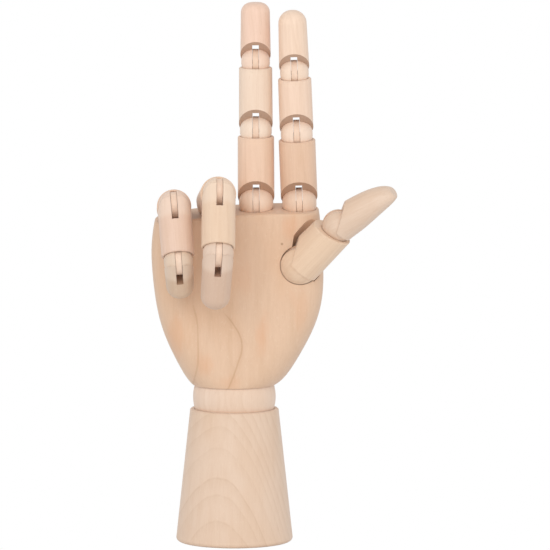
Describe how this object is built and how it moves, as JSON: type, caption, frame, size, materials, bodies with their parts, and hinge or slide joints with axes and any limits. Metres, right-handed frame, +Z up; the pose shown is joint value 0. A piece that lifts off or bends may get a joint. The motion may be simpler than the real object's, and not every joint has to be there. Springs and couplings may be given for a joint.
{
  "type": "hand mannequin",
  "caption": "Jointed wooden hand on a turned conical stand, palm to the front, with pinned tongue-and-slot finger knuckles and a spring-held ball wrist.",
  "frame": {"origin": "centre of the stand's underside", "axes": "+Z up along the stand, the palm faces -Y, the thumb is towards +X"},
  "size_m": [0.1376, 0.096, 0.305],
  "materials": {
    "stand_wood": "satin",
    "ball_wood": "satin",
    "palm_wood": "satin",
    "thumb_wood": "satin",
    "index_wood": "satin",
    "middle_wood": "satin",
    "ring_wood": "satin",
    "little_wood": "satin",
    "tongue_wood": "satin",
    "steel": "satin"
  },
  "bodies": {
    "stand": {"base": "stand_wood", "spring_pin_base": "steel"},
    "wrist_core": {"tension_spring": "steel"},
    "wrist_ball": {"wrist_ball": "ball_wood"},
    "palm": {"palm": "palm_wood", "spring_pin_palm": "steel", "index_proximal_tongue": "tongue_wood", "middle_proximal_tongue": "tongue_wood", "ring_proximal_tongue": "tongue_wood", "little_proximal_tongue": "tongue_wood", "thumb_base_tongue": "tongue_wood"},
    "index_proximal": {"index_proximal": "index_wood", "index_proximal_pin": "steel", "index_middle_tongue": "tongue_wood"},
    "index_middle": {"index_middle": "index_wood", "index_middle_pin": "steel", "index_distal_tongue": "tongue_wood"},
    "index_distal": {"index_distal": "index_wood", "index_distal_pin": "steel"},
    "middle_proximal": {"middle_proximal": "middle_wood", "middle_proximal_pin": "steel", "middle_middle_tongue": "tongue_wood"},
    "middle_middle": {"middle_middle": "middle_wood", "middle_middle_pin": "steel", "middle_distal_tongue": "tongue_wood"},
    "middle_distal": {"middle_distal": "middle_wood", "middle_distal_pin": "steel"},
    "ring_proximal": {"ring_proximal": "ring_wood", "ring_proximal_pin": "steel", "ring_middle_tongue": "tongue_wood"},
    "ring_middle": {"ring_middle": "ring_wood", "ring_middle_pin": "steel", "ring_distal_tongue": "tongue_wood"},
    "ring_distal": {"ring_distal": "ring_wood", "ring_distal_pin": "steel"},
    "little_proximal": {"little_proximal": "little_wood", "little_proximal_pin": "steel", "little_middle_tongue": "tongue_wood"},
    "little_middle": {"little_middle": "little_wood", "little_middle_pin": "steel", "little_distal_tongue": "tongue_wood"},
    "little_distal": {"little_distal": "little_wood", "little_distal_pin": "steel"},
    "thumb_base": {"thumb_base": "thumb_wood", "thumb_base_pin": "steel", "thumb_tip_tongue": "tongue_wood"},
    "thumb_tip": {"thumb_tip": "thumb_wood", "thumb_tip_pin": "steel"}
  },
  "joints": [
    {"name": "wrist_turn", "type": "hinge", "parent": "stand", "child": "wrist_core", "pos_m": [0, 0, 0.082], "axis": [0, 0, 1], "range_deg": [-75, 75]},
    {"name": "wrist_side_tilt", "type": "hinge", "parent": "wrist_core", "child": "wrist_ball", "pos_m": [0, 0, 0.082], "axis": [0, 1, 0], "range_deg": [-16, 16], "deforming": ["tension_spring"]},
    {"name": "wrist_nod", "type": "hinge", "parent": "wrist_ball", "child": "palm", "pos_m": [0, 0, 0.082], "axis": [1, 0, 0], "range_deg": [-16, 16]},
    {"name": "index_knuckle", "type": "hinge", "parent": "palm", "child": "index_proximal", "pos_m": [0.0366, 0, 0.1915], "axis": [0.9993, 0, 0.0384], "range_deg": [-6, 60]},
    {"name": "index_middle_joint", "type": "hinge", "parent": "index_proximal", "child": "index_middle", "pos_m": [0.03509, -0.00413, 0.23075], "axis": [-0.9993, 0, -0.0384], "range_deg": [-76, 0]},
    {"name": "index_tip_joint", "type": "hinge", "parent": "index_middle", "child": "index_distal", "pos_m": [0.03376, -0.00779, 0.26554], "axis": [0.9993, 0, 0.0384], "range_deg": [0, 60]},
    {"name": "middle_knuckle", "type": "hinge", "parent": "palm", "child": "middle_proximal", "pos_m": [0.0123, 0, 0.1915], "axis": [1, 0, 0.0035], "range_deg": [-3, 67]},
    {"name": "middle_middle_joint", "type": "hinge", "parent": "middle_proximal", "child": "middle_middle", "pos_m": [0.01216, -0.00215, 0.23254], "axis": [-1, 0, -0.0035], "range_deg": [-76, 0]},
    {"name": "middle_tip_joint", "type": "hinge", "parent": "middle_middle", "child": "middle_distal", "pos_m": [0.01202, -0.00419, 0.27149], "axis": [1, 0, 0.0035], "range_deg": [0, 60]},
    {"name": "ring_knuckle", "type": "hinge", "parent": "palm", "child": "ring_proximal", "pos_m": [-0.0114, 0, 0.1915], "axis": [0.9966, 0.0698, -0.0435], "range_deg": [-76, 0]},
    {"name": "ring_middle_joint", "type": "hinge", "parent": "ring_proximal", "child": "ring_middle", "pos_m": [-0.00839, -0.03727, 0.20069], "axis": [-0.9966, -0.0698, 0.0435], "range_deg": [0, 76]},
    {"name": "ring_tip_joint", "type": "hinge", "parent": "ring_middle", "child": "ring_distal", "pos_m": [-0.0086, -0.05413, 0.16888], "axis": [0.9966, 0.0698, -0.0435], "range_deg": [-45, 15]},
    {"name": "little_knuckle", "type": "hinge", "parent": "palm", "child": "little_proximal", "pos_m": [-0.034, 0, 0.1874], "axis": [0.997, 0.0349, 0.0697], "range_deg": [-80, 0]},
    {"name": "little_middle_joint", "type": "hinge", "parent": "little_proximal", "child": "little_middle", "pos_m": [-0.0333, -0.031, 0.19293], "axis": [-0.997, -0.0349, -0.0697], "range_deg": [-2, 74]},
    {"name": "little_tip_joint", "type": "hinge", "parent": "little_middle", "child": "little_distal", "pos_m": [-0.03073, -0.04546, 0.16338], "axis": [0.997, 0.0349, 0.0697], "range_deg": [-56, 4]},
    {"name": "thumb_base_joint", "type": "hinge", "parent": "palm", "child": "thumb_base", "pos_m": [0.0367, -0.0134, 0.1579], "axis": [0.0537, 0.9511, 0.3043], "range_deg": [-8, 4]},
    {"name": "thumb_tip_joint", "type": "hinge", "parent": "thumb_base", "child": "thumb_tip", "pos_m": [0.05837, -0.02201, 0.18097], "axis": [0.0537, 0.9511, 0.3043], "range_deg": [-43.6, 0]}
  ]
}
